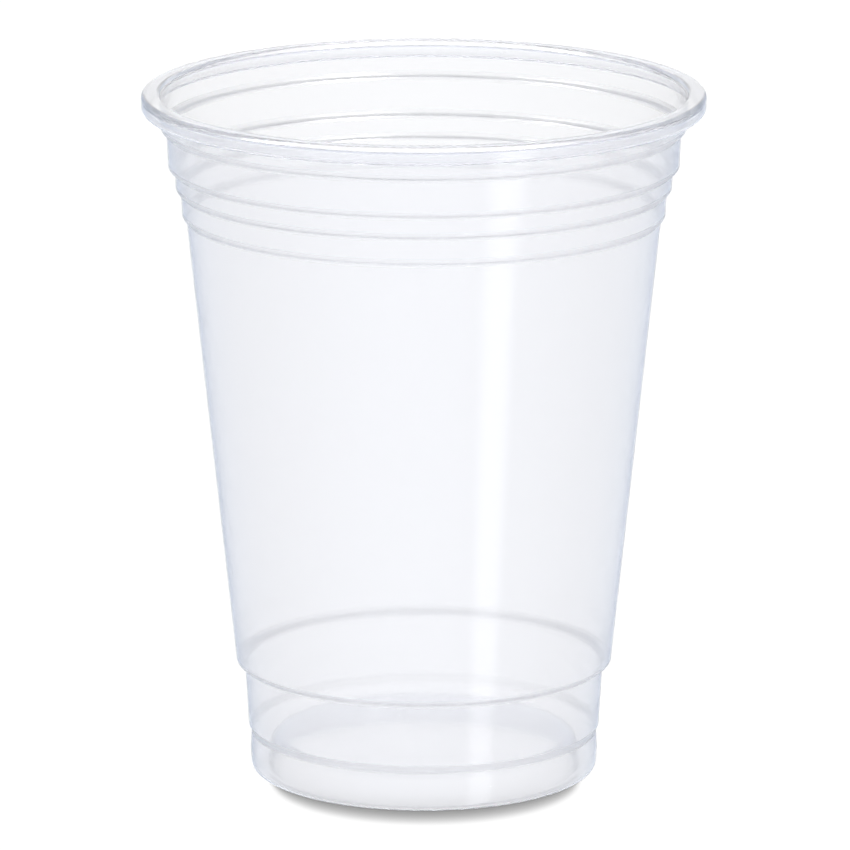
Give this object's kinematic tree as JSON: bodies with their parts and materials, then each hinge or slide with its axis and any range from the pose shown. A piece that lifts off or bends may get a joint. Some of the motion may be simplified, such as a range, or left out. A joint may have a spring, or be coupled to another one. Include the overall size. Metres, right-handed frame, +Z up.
{
  "type": "plastic disposable cup",
  "caption": "Clear disposable drinking cup with a rolled rim, stepped grip bands, a tapered body, a stacking shoulder and a foot ring round a recessed floor.",
  "frame": {"origin": "centre of the foot ring's underside, on the surface that the cup stands on", "axes": "+Z up along the cup's axis, from the foot to the mouth; the cup is a body of revolution, so X and Y are free"},
  "size_m": [0.098, 0.098, 0.1212],
  "materials": {
    "clear_plastic": "clear, glossy, with a very faint blue tint"
  },
  "bodies": {
    "root": {"cup": "clear_plastic"}
  },
  "joints": []
}
